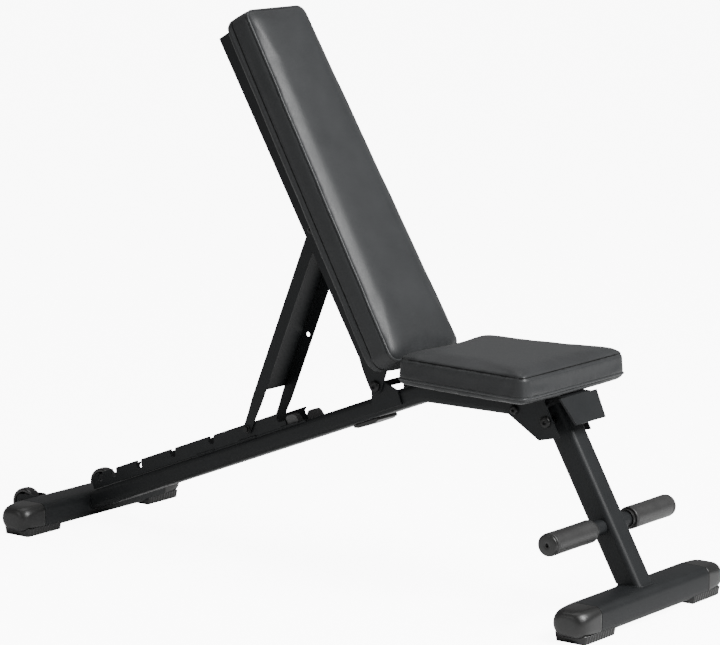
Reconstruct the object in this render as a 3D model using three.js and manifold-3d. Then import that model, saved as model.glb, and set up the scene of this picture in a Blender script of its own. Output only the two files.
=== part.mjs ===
// Adjustable weight bench: a folding steel frame with a tapered back pad on a seven-position ladder,
// a fixed seat, a fold-under front leg with two foam leg rollers, and two transport wheels.
// Millimetres, +X towards the seat and front leg, +Z up, the floor at Z = 0, symmetric about Y = 0.
// "near" is the -Y side and "far" the +Y side.
import * as THREE from 'three';
import { mergeVertices } from 'three/addons/utils/BufferGeometryUtils.js';
import Module from 'manifold-3d';

const wasm = await Module();
wasm.setup();

// ---------------------------------------------------------------- driving dimensions
const DEG = Math.PI / 180;
const GAP = 0.3;                       // clearance kept between touching pieces
const SIDES = { near: -1, far: 1 };

const HINGE = { x: 135, z: 353 };      // back hinge axis
const BACK_ANGLE = 60 * DEG;           // back above the horizontal, sixth ladder position
const SPINE_SLOPE = 21.2 * DEG;        // fall of the spine towards the rear foot
const STRUT_TOP = { along: 310, depth: 12 }; // hinge to strut pivot, up the back and towards the pad
const STRUT_LENGTH = 425;              // strut pivot to foot pin
const LADDER_ANGLES = [-15, 0, 15, 30, 45, 60, 75].map((a) => a * DEG);

// the spine's front end is mitred: its underside stops short, so that the folded leg clears it
const SPINE = {
  width: 92, height: 36, corner: 6, wall: 2.5, bendX: 232, bendRadius: 90, under: 333, front: 454, mitre: 1, below: 17.7,
};
const FOOT = { depth: 70, height: 50, corner: 14, wall: 2.5, lift: 8, capLength: 59, nosePower: 5 };
const FOOT_PAD = { half: 33, underTube: 45, shortOfNose: 16 };
const REAR_FOOT = { x: -603, half: 233 };
const FRONT_FOOT = { x: 669, half: 231 };
const WHEEL = { x: -674, z: 35.5, y: 113, radius: 30, width: 22, bore: 5.3 };

const LADDER = { inner: 39.7, sheet: 3.5, top: 10.5, bottom: -17.4, slot: 6.6 };
const BUMPER_INNER = 24;
const STRUT = { outer: 47.4, sheet: 2.8, rear: -12, front: 12, webEnd: 352 };
const FRAME = { half: 55, sheet: 3, rear: 8.5, front: -37, top: 707 };
const STRUT_PIVOT = { radius: 4, hole: 4.4 };

const LEG = { x: 503, z: 332, angle: 60.7 * DEG, width: 50, depth: 47, corner: 6, wall: 2.5, top: -24 };
const ROLLER = { along: 204, radius: 20.5, half: 192, inner: 62, barRadius: 9 };
const CHEEK = { inner: 46.3, sheet: 4 };

const SEAT = { rear: 236, front: 536, rearHalf: 138, frontHalf: 165, corner: 14 };
const SEAT_BOARD = { low: 380, high: 386 };
const SEAT_PAD = { low: 386.3, side: 429, crown: 441 };
const BACK = { low: 8, high: 722, lowHalf: 110, highHalf: 92, corner: 26 };
const BACK_BOARD = { rear: -37.3, front: -47 };
const BACK_PAD = { rear: -47.3, side: -95, crown: -106 };

// ---------------------------------------------------------------- finishes
const finish = (color, roughness, metalness = 0) => ({ color, roughness, metalness });
const COAT = finish(0x26282a, 0.55, 0.2);
const LEATHER = finish(0x2b2c2e, 0.6);
const RUBBER = finish(0x2e3032, 0.75);
const GREY_RUBBER = finish(0x5c5e60, 0.7);
const GLOSS = finish(0x0d0d0e, 0.25);
const FOAM = finish(0x4a4b4d, 0.8);
const BOLT = finish(0x1b1c1d, 0.4, 0.7);
const BOARD = finish(0x1f2021, 0.8);

// ---------------------------------------------------------------- shape helpers
const vec = (x, y, z) => new THREE.Vector3(x, y, z);

/** Points of a rectangle with round corners, anticlockwise, as [a, b] pairs about its centre. */
function roundedRectangle(width, height, radius, steps = 4) {
  const points = [];
  const centres = [[1, 1], [-1, 1], [-1, -1], [1, -1]];
  centres.forEach(([sx, sy], quarter) => {
    for (let i = 0; i <= steps; i++) {
      const angle = (quarter + i / steps) * Math.PI / 2;
      points.push([
        sx * (width / 2 - radius) + radius * Math.cos(angle),
        sy * (height / 2 - radius) + radius * Math.sin(angle),
      ]);
    }
  });
  return points;
}

/** Joins rings of equal point count. A loop closes on its first ring; otherwise the two ends are capped. */
function loft(rings, loop = false) {
  const count = rings[0].length;
  const positions = rings.flat().flatMap((p) => [p.x, p.y, p.z]);
  const index = [];
  const spans = loop ? rings.length : rings.length - 1;
  for (let r = 0; r < spans; r++) {
    const a = r * count;
    const b = ((r + 1) % rings.length) * count;
    for (let i = 0; i < count; i++) {
      const j = (i + 1) % count;
      index.push(a + i, a + j, b + j, a + i, b + j, b + i);
    }
  }
  if (!loop) {
    [[rings[0], 0, true], [rings.at(-1), (rings.length - 1) * count, false]].forEach(([ring, base, first]) => {
      const centre = ring.reduce((sum, p) => sum.add(p), vec(0, 0, 0)).divideScalar(count);
      const middle = positions.length / 3;
      positions.push(centre.x, centre.y, centre.z);
      for (let i = 0; i < count; i++) {
        const j = (i + 1) % count;
        index.push(...(first ? [middle, base + j, base + i] : [middle, base + i, base + j]));
      }
    });
  }
  const geometry = new THREE.BufferGeometry();
  geometry.setAttribute('position', new THREE.Float32BufferAttribute(positions, 3));
  geometry.setIndex(index);
  return outward(geometry);
}

/** Turns a closed geometry the right way out, by the sign of its volume. */
function outward(geometry) {
  const p = geometry.getAttribute('position');
  const index = Array.from(geometry.getIndex().array);
  let volume = 0;
  const [a, b, c] = [vec(0, 0, 0), vec(0, 0, 0), vec(0, 0, 0)];
  for (let i = 0; i < index.length; i += 3) {
    [a, b, c].forEach((v, k) => v.fromBufferAttribute(p, index[i + k]));
    volume += a.dot(b.cross(c));
  }
  if (volume < 0) {
    for (let i = 0; i < index.length; i += 3) [index[i], index[i + 1]] = [index[i + 1], index[i]];
    geometry.setIndex(index);
  }
  return geometry;
}

/** A ring of section points at an origin, spread along the across and up vectors. */
const ringAt = (points, origin, across, up) => points.map(([a, b]) => origin.clone()
  .addScaledVector(across, a).addScaledVector(up, b));

/** A hollow rounded-rectangle tube through stations of { origin, across, up }, open at both ends. */
function hollowTube(width, height, corner, wall, stations) {
  const outer = roundedRectangle(width, height, corner);
  const inner = roundedRectangle(width - 2 * wall, height - 2 * wall, corner - wall);
  const place = (points) => stations.map((s) => ringAt(points, s.origin, s.across, s.up));
  return loft([...place(outer), ...place(inner).reverse()], true);
}

/** A Shape from [x, z] points. */
const shapeOf = (points) => new THREE.Shape(points.map(([x, z]) => new THREE.Vector2(x, z)));

/** Adds a round hole to a shape. */
function hole(shape, x, z, radius) {
  const path = new THREE.Path();
  path.absarc(x, z, radius, 0, 2 * Math.PI, true);
  shape.holes.push(path);
  return shape;
}

/** Extrudes a shape drawn in X and Z between two Y values. */
function plateXZ(shape, y0, y1, curveSegments = 6) {
  const geometry = new THREE.ExtrudeGeometry(shape, {
    depth: Math.abs(y1 - y0), bevelEnabled: false, steps: 1, curveSegments,
  });
  return geometry.rotateX(Math.PI / 2).translate(0, Math.max(y0, y1), 0);
}

/** A sheet on one side of the centre plane: inner is its distance from Y = 0. */
const sidePlate = (shape, side, inner, sheet) => plateXZ(shape, side * inner, side * (inner + sheet));

/** A box from its low and high corners. */
function box(low, high) {
  const size = high.map((h, i) => h - low[i]);
  const centre = high.map((h, i) => (h + low[i]) / 2);
  return new THREE.BoxGeometry(...size).translate(...centre);
}

/** A cylinder between two Y values, about an axis through x, z. */
function cylinderY(radius, y0, y1, x = 0, z = 0, segments = 16) {
  return new THREE.CylinderGeometry(radius, radius, Math.abs(y1 - y0), segments)
    .translate(x, (y0 + y1) / 2, z);
}

/** A turned body about the Y axis from [radius, y] points; the profile ends on the axis or is closed. */
function turned(profile, segments = 24) {
  return outward(plainOf(new THREE.LatheGeometry(profile.map(([r, y]) => new THREE.Vector2(r, y)), segments)));
}

/** A copy with positions only and its shared vertices merged. */
function plainOf(geometry) {
  const plain = geometry.clone();
  Object.keys(plain.attributes).filter((n) => n !== 'position').forEach((n) => plain.deleteAttribute(n));
  return mergeVertices(plain, 1e-4);
}

/** A manifold solid from a geometry. */
function solid(geometry) {
  const merged = outward(plainOf(geometry));
  const mesh = new wasm.Mesh({
    numProp: 3,
    vertProperties: new Float32Array(merged.getAttribute('position').array),
    triVerts: new Uint32Array(merged.getIndex().array),
  });
  mesh.merge();
  return new wasm.Manifold(mesh);
}

/** A geometry from a manifold solid. */
function geometryOf(manifold) {
  const mesh = manifold.getMesh();
  const geometry = new THREE.BufferGeometry();
  geometry.setAttribute('position', new THREE.Float32BufferAttribute(mesh.vertProperties, 3));
  geometry.setIndex(Array.from(mesh.triVerts));
  return geometry;
}

const join = (first, ...rest) => geometryOf(rest.reduce((sum, g) => sum.add(solid(g)), solid(first)));
const cut = (first, ...rest) => geometryOf(rest.reduce((sum, g) => sum.subtract(solid(g)), solid(first)));

/** Adds a named mesh with its finish to a group. */
function piece(parent, name, geometry, look) {
  const material = new THREE.MeshStandardMaterial(look);
  const mesh = new THREE.Mesh(geometry.index ? geometry.toNonIndexed() : geometry, material);
  mesh.geometry.computeVertexNormals();
  mesh.name = name;
  parent.add(mesh);
  return mesh;
}

/** A group at x, z turned about Y. */
function frameAt(parent, x, z, turn) {
  const group = new THREE.Group();
  group.position.set(x, 0, z);
  group.rotation.y = turn;
  parent.add(group);
  return group;
}

/** A button-head bolt along Y from the head's underside at -half to the shank's end at +half. */
function buttonBolt(radius, half, headRadius, headHeight) {
  const profile = [[0, -half - headHeight], [headRadius * 0.62, -half - headHeight],
    [headRadius * 0.93, -half - headHeight * 0.6], [headRadius, -half], [radius, -half],
    [radius, half], [0, half]];
  return turned(profile, 16);
}

/** A nut or domed cap with a bore, along Y from y0 to y1. */
function nut(radius, bore, y0, y1) {
  return turned([[bore, y0], [radius, y0], [radius, y1], [bore, y1], [bore, y0]], 20);
}

// ---------------------------------------------------------------- linkage
/** Distance from the hinge to the foot pin along the ladder, for a back angle. */
function notchDistance(backAngle) {
  const arm = Math.hypot(STRUT_TOP.along, STRUT_TOP.depth);
  const theta = backAngle + SPINE_SLOPE + Math.atan2(STRUT_TOP.depth, STRUT_TOP.along);
  return arm * Math.cos(theta) + Math.sqrt(STRUT_LENGTH ** 2 - (arm * Math.sin(theta)) ** 2);
}
const restPin = notchDistance(BACK_ANGLE);
const strutTop = {
  x: HINGE.x - STRUT_TOP.along * Math.cos(BACK_ANGLE) + STRUT_TOP.depth * Math.sin(BACK_ANGLE),
  z: HINGE.z + STRUT_TOP.along * Math.sin(BACK_ANGLE) + STRUT_TOP.depth * Math.cos(BACK_ANGLE),
};
const footPin = {
  x: HINGE.x - restPin * Math.cos(SPINE_SLOPE),
  z: HINGE.z - restPin * Math.sin(SPINE_SLOPE),
};
const strutSlope = Math.atan2(strutTop.z - footPin.z, strutTop.x - footPin.x);

// ---------------------------------------------------------------- groups
const bench = new THREE.Group();
const ladder = frameAt(bench, HINGE.x, HINGE.z, -SPINE_SLOPE);        // X up the slope, Z off the spine
const back = frameAt(bench, HINGE.x, HINGE.z, Math.PI + BACK_ANGLE);  // X up the back, Z rearwards
const strut = frameAt(bench, strutTop.x, strutTop.z, Math.PI - strutSlope); // X down the strut, Z forwards
const leg = frameAt(bench, LEG.x, LEG.z, LEG.angle);                  // X down the leg, Z forwards

// ---------------------------------------------------------------- spine and rear foot
function buildSpine() {
  const tan = Math.tan(SPINE_SLOPE);
  const rise = SPINE.height / 2;
  const slopeCentre = (x) => SPINE.under - (SPINE.bendX - x) * tan + rise / Math.cos(SPINE_SLOPE);
  const across = vec(0, 1, 0);
  const rear = REAR_FOOT.x + FOOT.depth / 2 + GAP;
  const upright = vec(0, 0, 1 / Math.cos(SPINE_SLOPE));
  const stations = [{ origin: vec(rear, 0, slopeCentre(rear)), across, up: upright }];
  const { bendRadius } = SPINE;
  const half = SPINE_SLOPE / 2;
  // the arc's centre lies below the bend; its outer side is the tube's top
  const bend = { x: SPINE.bendX - rise * Math.tan(half), z: SPINE.under + rise };
  const tangent = bendRadius * Math.tan(half);
  const arcCentre = { x: bend.x + tangent, z: bend.z - bendRadius };
  const steps = 5;
  for (let i = 0; i <= steps; i++) {
    const angle = SPINE_SLOPE * (1 - i / steps);
    const up = vec(-Math.sin(angle), 0, Math.cos(angle));
    stations.push({ origin: vec(arcCentre.x, 0, arcCentre.z).addScaledVector(up, bendRadius), across, up });
  }
  stations.push({ origin: vec(SPINE.front, 0, bend.z), across, up: vec(SPINE.mitre, 0, 1) });
  piece(bench, 'spine_tube', hollowTube(SPINE.width, SPINE.height, SPINE.corner, SPINE.wall, stations), COAT);
}

/** A cross foot: the tube, its two rounded end caps and the rubber pads under them. */
function buildFoot(parent, name, toLocal, foot) {
  const tubeHalf = foot.half - FOOT.capLength;
  const centre = vec(foot.x, 0, FOOT.lift + FOOT.height / 2);
  const across = vec(1, 0, 0);
  const up = vec(0, 0, 1);
  const at = (y) => ({ origin: centre.clone().setY(y), across, up });
  const place = (geometry) => geometry.applyMatrix4(toLocal);
  const tube = hollowTube(FOOT.depth, FOOT.height, FOOT.corner, FOOT.wall, [at(-tubeHalf), at(tubeHalf)]);
  piece(parent, `${name}_tube`, place(tube), COAT);
  for (const [sideName, side] of Object.entries(SIDES)) {
    // the cap leaves the tube at full size and closes in a blunt round nose
    const rings = [0, 0.25, 0.45, 0.62, 0.76, 0.87, 0.95, 0.99].map((t) => {
      const full = (1 - t ** FOOT.nosePower) ** (1 / FOOT.nosePower);
      const width = FOOT.depth * full;
      const height = FOOT.height * full;
      const corner = Math.min(FOOT.corner + 8 * t, height / 2 - 1);
      const origin = centre.clone().setY(side * (tubeHalf + GAP + t * (FOOT.capLength - GAP)));
      return ringAt(roundedRectangle(width, height, corner), origin, across, up);
    });
    piece(parent, `${name}_cap_${sideName}`, place(loft(rings)), RUBBER);
    const padEnds = [side * (tubeHalf - FOOT_PAD.underTube), side * (foot.half - FOOT_PAD.shortOfNose)];
    const padLow = [foot.x - FOOT_PAD.half, Math.min(...padEnds), 0];
    const padHigh = [foot.x + FOOT_PAD.half, Math.max(...padEnds), FOOT.lift - GAP];
    piece(parent, `${name}_pad_${sideName}`, place(box(padLow, padHigh)), RUBBER);
  }
}

function buildWheels() {
  const footFace = REAR_FOOT.x - FOOT.depth / 2 - GAP;
  for (const [sideName, side] of Object.entries(SIDES)) {
    const y = side * WHEEL.y;
    // a U bracket: base on the foot's rear face, a cheek on either side of the wheel
    const outline = shapeOf([[footFace, 16], [footFace, 56], [footFace - 12, 56]]);
    outline.absarc(WHEEL.x, WHEEL.z + 6, 14, Math.PI * 0.62, Math.PI * 1.42, false);
    outline.lineTo(footFace, 16);
    hole(outline, WHEEL.x, WHEEL.z, WHEEL.bore);
    const cheekIn = WHEEL.width / 2 + 1.5;
    const cheeks = [-1, 1].map((s) => plateXZ(outline, y + s * cheekIn, y + s * (cheekIn + 3)));
    const base = box([footFace - 3, y - cheekIn - 2, 18], [footFace, y + cheekIn + 2, 54]);
    piece(bench, `wheel_bracket_${sideName}`, join(base, ...cheeks), COAT);
    const bolt = buttonBolt(WHEEL.bore - 0.5, cheekIn + 6, 8, 4).translate(WHEEL.x, y, WHEEL.z);
    piece(bench, `wheel_axle_${sideName}`, bolt, BOLT);
    const h = WHEEL.width / 2;
    const r = WHEEL.radius;
    // hub, thin web and thick tyre in one turned section, then six windows through the web
    const profile = [[WHEEL.bore, -h], [10, -h], [11, -5], [r - 8, -5], [r - 7, -h + 2], [r - 2, -h],
      [r, -h + 4], [r, h - 4], [r - 2, h], [r - 7, h - 2], [r - 8, 5], [11, 5], [10, h], [WHEEL.bore, h],
      [WHEEL.bore, -h]];
    const windows = Array.from({ length: 6 }, (_, i) => {
      const a = i * Math.PI / 3;
      return cylinderY(4.2, -h, h, 16.4 * Math.cos(a), 16.4 * Math.sin(a), 10);
    });
    const wheel = cut(turned(profile, 32), ...windows).translate(WHEEL.x, y, WHEEL.z);
    piece(bench, `wheel_${sideName}`, wheel, GLOSS);
  }
}

// ---------------------------------------------------------------- ladder
/** The outline of a ladder plate: a tab before each slot, each tab ending in a small hook over it. */
function ladderOutline() {
  const distances = LADDER_ANGLES.map(notchDistance);
  const { top, bottom, slot } = LADDER;
  const points = [[-distances[0] - 24, bottom], [-distances[0] - 24, top - 3]];
  const shape = shapeOf(points);
  distances.forEach((d, i) => {
    const last = i === distances.length - 1;
    shape.lineTo(-d - 3.2, top - 0.5);                   // tab top
    shape.quadraticCurveTo(-d - 0.8, top - 0.5, -d - 0.8, top - 3.5); // hook tip
    shape.quadraticCurveTo(-d - slot, top - 6, -d - slot, 1); // under the hook
    shape.absarc(-d, 0, slot, Math.PI, last ? 1.5 * Math.PI : 2 * Math.PI, false);
    if (last) {
      shape.lineTo(-d + 12, -slot);
      shape.lineTo(-d + 12, bottom);
    } else {
      shape.lineTo(-d + slot + 2, top - 3);              // front wall, leaning forwards
      shape.lineTo(-d + slot + 4, top - 0.5);
    }
  });
  shape.closePath();
  return shape;
}

function buildLadder() {
  for (const [sideName, side] of Object.entries(SIDES)) {
    const plate = sidePlate(ladderOutline(), side, LADDER.inner, LADDER.sheet);
    piece(ladder, `ladder_plate_${sideName}`, plate, COAT);
    const seat = LADDER.bottom;
    const bumper = shapeOf([[-238, seat], [-238, seat + 12]]);
    bumper.quadraticCurveTo(-236, seat + 18, -230, seat + 18);
    bumper.lineTo(-220, seat + 18);
    bumper.quadraticCurveTo(-211, seat + 17, -209, seat);
    bumper.closePath();
    const block = sidePlate(bumper, side, BUMPER_INNER, LADDER.inner - BUMPER_INNER - GAP);
    piece(ladder, `ladder_bumper_${sideName}`, block, GREY_RUBBER);
  }
  const under = -SPINE.below - SPINE.height - GAP;
  const rest = shapeOf([[-96, under], [-96, under - 5], [-86, under - 8], [-46, under - 8], [-36, under - 5],
    [-36, under]]);
  piece(ladder, 'folded_leg_rest', plateXZ(rest, -30, 30), RUBBER);
}

// ---------------------------------------------------------------- back hinge
function buildBackHinge() {
  for (const [sideName, side] of Object.entries(SIDES)) {
    const outline = shapeOf([[-30, -46], [42, -46], [42, -20]]);
    outline.lineTo(12, 8);
    outline.absarc(0, 0, 13, 0.6, Math.PI - 0.5, false);
    outline.closePath();
    hole(outline, 0, 0, 6.3);
    piece(ladder, `hinge_ear_${sideName}`, sidePlate(outline, side, CHEEK.inner, 4.5), COAT);
  }
  const bolt = buttonBolt(6, 56, 10.5, 6);
  piece(ladder, 'hinge_bolt', bolt, BOLT);
  piece(ladder, 'hinge_nut', nut(10, 6.3, FRAME.half + 0.6, FRAME.half + 9), BOLT);
}

// ---------------------------------------------------------------- seat and front bracket
/** A tapered plan with round corners, as [x, y] points: lengthwise low to high, half widths at each end. */
function taperedPlan(low, high, lowHalf, highHalf, corner, steps = 5, inset = 0) {
  const ends = [[high - inset, highHalf - inset, 1], [low + inset, lowHalf - inset, -1]];
  const points = [];
  for (const [x, half, direction] of ends) {
    const sides = direction > 0 ? [-1, 1] : [1, -1];
    sides.forEach((side, k) => {
      for (let i = 0; i <= steps; i++) {
        const a = (i / steps) * Math.PI / 2;
        const [c, s] = k === 0 ? [Math.sin(a), Math.cos(a)] : [Math.cos(a), Math.sin(a)];
        points.push([x - direction * corner * (1 - c), side * (half - corner * (1 - s))]);
      }
    });
  }
  return points;
}

/** A pad: the plan carried through levels of { height, inset }, closed at both ends. */
function padLoft(plan, levels) {
  return loft(levels.map(({ height, inset }) => plan(inset).map(([x, y]) => vec(x, y, height))));
}

function buildSeat() {
  const { rear, front, rearHalf, frontHalf, corner } = SEAT;
  const plan = (inset) => taperedPlan(rear, front, rearHalf, frontHalf, corner, 5, inset);
  const board = padLoft(plan, [{ height: SEAT_BOARD.low, inset: 8 }, { height: SEAT_BOARD.high, inset: 8 }]);
  piece(bench, 'seat_board', board, BOARD);
  const pad = padLoft(plan, [
    { height: SEAT_PAD.low, inset: 1 },
    { height: SEAT_PAD.side, inset: 0 },
    { height: (SEAT_PAD.side + SEAT_PAD.crown) / 2 + 3, inset: 10 },
    { height: SEAT_PAD.crown, inset: 34 },
  ]);
  piece(bench, 'seat_pad', pad, LEATHER);
}

function buildSeatMounts() {
  // flat cross bars between the spine and the seat board
  const low = SPINE.under + SPINE.height + GAP;
  for (const [name, x] of [['rear', 268], ['front', 440]]) {
    piece(bench, `seat_mount_${name}`, box([x, -45, low], [x + 32, 45, SEAT_BOARD.low - GAP]), COAT);
  }
}

function buildFrontBracket() {
  const top = SEAT_BOARD.low - GAP;
  for (const [sideName, side] of Object.entries(SIDES)) {
    const outline = shapeOf([[416, top], [416, 341], [488, 297], [532, 307], [499, 366], [499, top]]);
    hole(outline, LEG.x, LEG.z, 6.3);
    hole(outline, 437, 346, 5.3);
    piece(bench, `cheek_plate_${sideName}`, sidePlate(outline, side, CHEEK.inner, CHEEK.sheet), COAT);
    // cheek bolt, screwed into the side of the spine from outside
    const inner = CHEEK.inner - GAP;
    const outerFace = CHEEK.inner + CHEEK.sheet;
    const head = turned([[0, outerFace + 6], [5, outerFace + 6], [8, outerFace + 3.5], [8.5, outerFace + GAP],
      [5, outerFace + GAP], [5, inner], [0, inner]], 16);
    if (side < 0) head.rotateX(Math.PI);
    piece(bench, `cheek_bolt_${sideName}`, head.translate(437, 0, 346), BOLT);
  }
  // the front plate is a trapezium with a lip under the seat board
  const thickness = 4;
  const edges = [[534, top - 3, 57], [561, 332, 46]];
  const rings = edges.map(([x, z, half]) => {
    const forward = vec(Math.sin(LEG.angle), 0, Math.cos(LEG.angle)).multiplyScalar(thickness);
    return [vec(x, -half, z), vec(x, half, z), vec(x, half, z).add(forward), vec(x, -half, z).add(forward)];
  });
  const lip = box([508, -38, top - 3.5], [537, 38, top - 0.5]);
  piece(bench, 'front_plate', join(loft(rings), lip), COAT);
  const y = CHEEK.inner + CHEEK.sheet;
  const pivot = buttonBolt(6, y + GAP, 10.5, 6).translate(LEG.x, 0, LEG.z);
  piece(bench, 'leg_pivot_bolt', pivot, BOLT);
}

// ---------------------------------------------------------------- front leg
/** Places geometry made in the bench frame into the leg's own frame. */
function intoLeg() {
  bench.updateMatrixWorld(true);
  return leg.matrixWorld.clone().invert();
}

function buildLeg() {
  const reach = (LEG.z - FOOT.lift - FOOT.height - GAP) / Math.sin(LEG.angle);
  const cot = 1 / Math.tan(LEG.angle);
  const half = LEG.depth / 2;
  // the lower end is cut level to sit on the foot tube
  const across = vec(0, 1, 0);
  const stations = [
    { origin: vec(LEG.top, 0, 0), across, up: vec(0, 0, 1) },
    { origin: vec(reach, 0, 0), across, up: vec(cot, 0, 1) },
  ];
  const tube = hollowTube(LEG.width, LEG.depth, LEG.corner, LEG.wall, stations);
  const barHole = cylinderY(ROLLER.barRadius + GAP, -half - 5, half + 5, ROLLER.along, 0, 20);
  const pivotHole = cylinderY(6.3, -half - 5, half + 5, 0, 0, 20);
  piece(leg, 'leg_tube', cut(tube, barHole, pivotHole), COAT);
  buildFoot(leg, 'front_foot', intoLeg(), FRONT_FOOT);

  const bar = cylinderY(ROLLER.barRadius, -ROLLER.half + 7, ROLLER.half - 7, ROLLER.along, 0, 20);
  piece(leg, 'roller_bar', bar, COAT);
  for (const [sideName, side] of Object.entries(SIDES)) {
    const bore = ROLLER.barRadius + GAP;
    const span = (a, b) => [side * a, side * b];
    const [c0, c1] = span(LEG.width / 2 + GAP, ROLLER.inner - 8);
    const collar = nut(14, bore, c0, c1);
    const washer = nut(17, bore, ...span(ROLLER.inner - 7.5, ROLLER.inner - 1));
    const [r0, r1] = span(ROLLER.inner, ROLLER.half - 6);
    const rd = ROLLER.radius;
    const foam = turned([[bore + 1, r0], [rd - 3, r0], [rd, r0 + side * 3], [rd, r1 - side * 3], [rd - 3, r1],
      [bore + 1, r1], [bore + 1, r0]], 28);
    const [e0, e1] = span(ROLLER.half - 5.7, ROLLER.half);
    const cap = turned([[0, e0], [rd - 4, e0], [rd - 3, e0 + side * 2], [rd - 7, e1], [0, e1]], 28);
    const place = (geometry) => geometry.translate(ROLLER.along, 0, 0);
    piece(leg, `roller_collar_${sideName}`, place(collar), COAT);
    piece(leg, `roller_washer_${sideName}`, place(washer), RUBBER);
    piece(leg, `foam_roller_${sideName}`, place(foam), FOAM);
    piece(leg, `roller_cap_${sideName}`, place(cap), RUBBER);
  }
}

// ---------------------------------------------------------------- back
function buildBack() {
  const { half, sheet, rear, front, top } = FRAME;
  // two flanges joined by a web against the board; the flanges run down to the hinge
  const flange = shapeOf([[0, 14]]);
  flange.absarc(0, 0, 14, Math.PI / 2, Math.PI * 1.25, false);
  flange.lineTo(14, front);
  flange.lineTo(top, front);
  flange.lineTo(top, rear);
  flange.lineTo(60, rear);
  flange.quadraticCurveTo(30, 14, 0, 14);
  hole(flange, 0, 0, 6.3);
  hole(flange, STRUT_TOP.along, -STRUT_TOP.depth, STRUT_PIVOT.hole);
  const flanges = Object.values(SIDES).map((side) => sidePlate(flange, side, half - sheet, sheet));
  const web = box([34, -half + sheet / 2, front], [top, half - sheet / 2, front + sheet]);
  piece(back, 'back_frame', join(web, ...flanges), COAT);

  const plan = (inset) => taperedPlan(BACK.low, BACK.high, BACK.lowHalf, BACK.highHalf, BACK.corner, 5, inset);
  const board = padLoft(plan, [{ height: BACK_BOARD.front, inset: 7 }, { height: BACK_BOARD.rear, inset: 7 }]);
  piece(back, 'back_board', board, BOARD);
  const pad = padLoft(plan, [
    { height: BACK_PAD.rear, inset: 1 },
    { height: BACK_PAD.side, inset: 0 },
    { height: (BACK_PAD.side + BACK_PAD.crown) / 2 - 3, inset: 9 },
    { height: BACK_PAD.crown, inset: 28 },
  ]);
  piece(back, 'back_pad', pad, LEATHER);

  [600, 284, 130].forEach((along, i) => {
    for (const [sideName, side] of Object.entries(SIDES)) {
      // screw heads on the web, clear of the strut
      const screw = turned([[0, 0], [5.5, 0], [5.5, 2.5], [3.5, 4], [0, 4]], 12)
        .rotateX(Math.PI / 2).translate(along, side * 46, front + sheet + GAP);
      piece(back, `pad_screw_${i + 1}_${sideName}`, screw, BOLT);
    }
  });
  const atPivot = (geometry) => geometry.translate(STRUT_TOP.along, 0, -STRUT_TOP.depth);
  piece(back, 'strut_pivot_bolt', atPivot(buttonBolt(STRUT_PIVOT.radius, half + GAP, 9.5, 5)), BOLT);
  piece(back, 'strut_pivot_nut', atPivot(nut(8.5, STRUT_PIVOT.hole, half + 0.6, half + 7)), BOLT);
}

// ---------------------------------------------------------------- strut
function buildStrut() {
  const { outer, sheet, rear, front, webEnd } = STRUT;
  const flange = shapeOf([[0, 12]]);
  flange.absarc(0, 0, 12, Math.PI / 2, Math.PI * 1.5, false);
  flange.lineTo(STRUT_LENGTH - 60, rear);
  flange.lineTo(STRUT_LENGTH - 30, rear + 2);
  flange.absarc(STRUT_LENGTH, 0, 9.5, -Math.PI / 2, Math.PI / 2, false);
  flange.lineTo(STRUT_LENGTH - 30, front - 2);
  flange.lineTo(STRUT_LENGTH - 60, front);
  flange.closePath();
  hole(flange, 0, 0, STRUT_PIVOT.hole);
  hole(flange, STRUT_LENGTH, 0, 4.3);
  const farFlange = flange.clone();
  hole(farFlange, 236, 1, 4.5);
  const inner = outer - sheet;
  const near = sidePlate(flange, SIDES.near, inner, sheet);
  const far = sidePlate(farFlange, SIDES.far, inner, sheet);
  const web = box([16, -inner - sheet / 2, rear], [webEnd, inner + sheet / 2, rear + sheet]);
  piece(strut, 'strut_channel', join(web, near, far), COAT);
  for (const [sideName, side] of Object.entries(SIDES)) {
    // a stub pin with a washered head outside the flange, ending just clear of the ladder plate
    const tip = LADDER.inner + LADDER.sheet + 0.5;
    const pin = turned([[0, outer + 7], [5.5, outer + 7], [6, outer + 2.5], [7.5, outer + 2],
      [7.5, outer + GAP], [4, outer + GAP], [4, inner - GAP], [5.8, inner - GAP], [5.8, tip], [0, tip]], 16);
    if (side < 0) pin.rotateX(Math.PI);
    piece(strut, `foot_pin_${sideName}`, pin.translate(STRUT_LENGTH, 0, 0), BOLT);
  }
}

buildSpine();
buildFoot(bench, 'rear_foot', new THREE.Matrix4(), REAR_FOOT);
buildWheels();
buildLadder();
buildBackHinge();
buildSeat();
buildSeatMounts();
buildFrontBracket();
buildLeg();
buildBack();
buildStrut();

export default bench;
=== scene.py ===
"""Looks of an adjustable weight bench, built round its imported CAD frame.

Lengths in this file are millimetres in the row frame: +X towards the seat and front leg, +Z up, floor at 0.
They become metres in Surface.mesh. "near" is the -Y side and "far" the +Y side.
"""

import logging
import math
from dataclasses import dataclass, field, replace
from enum import Enum
from typing import Callable, Sequence, Union

import bmesh
import bpy
import numpy as np
from mathutils import Matrix, Vector


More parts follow.
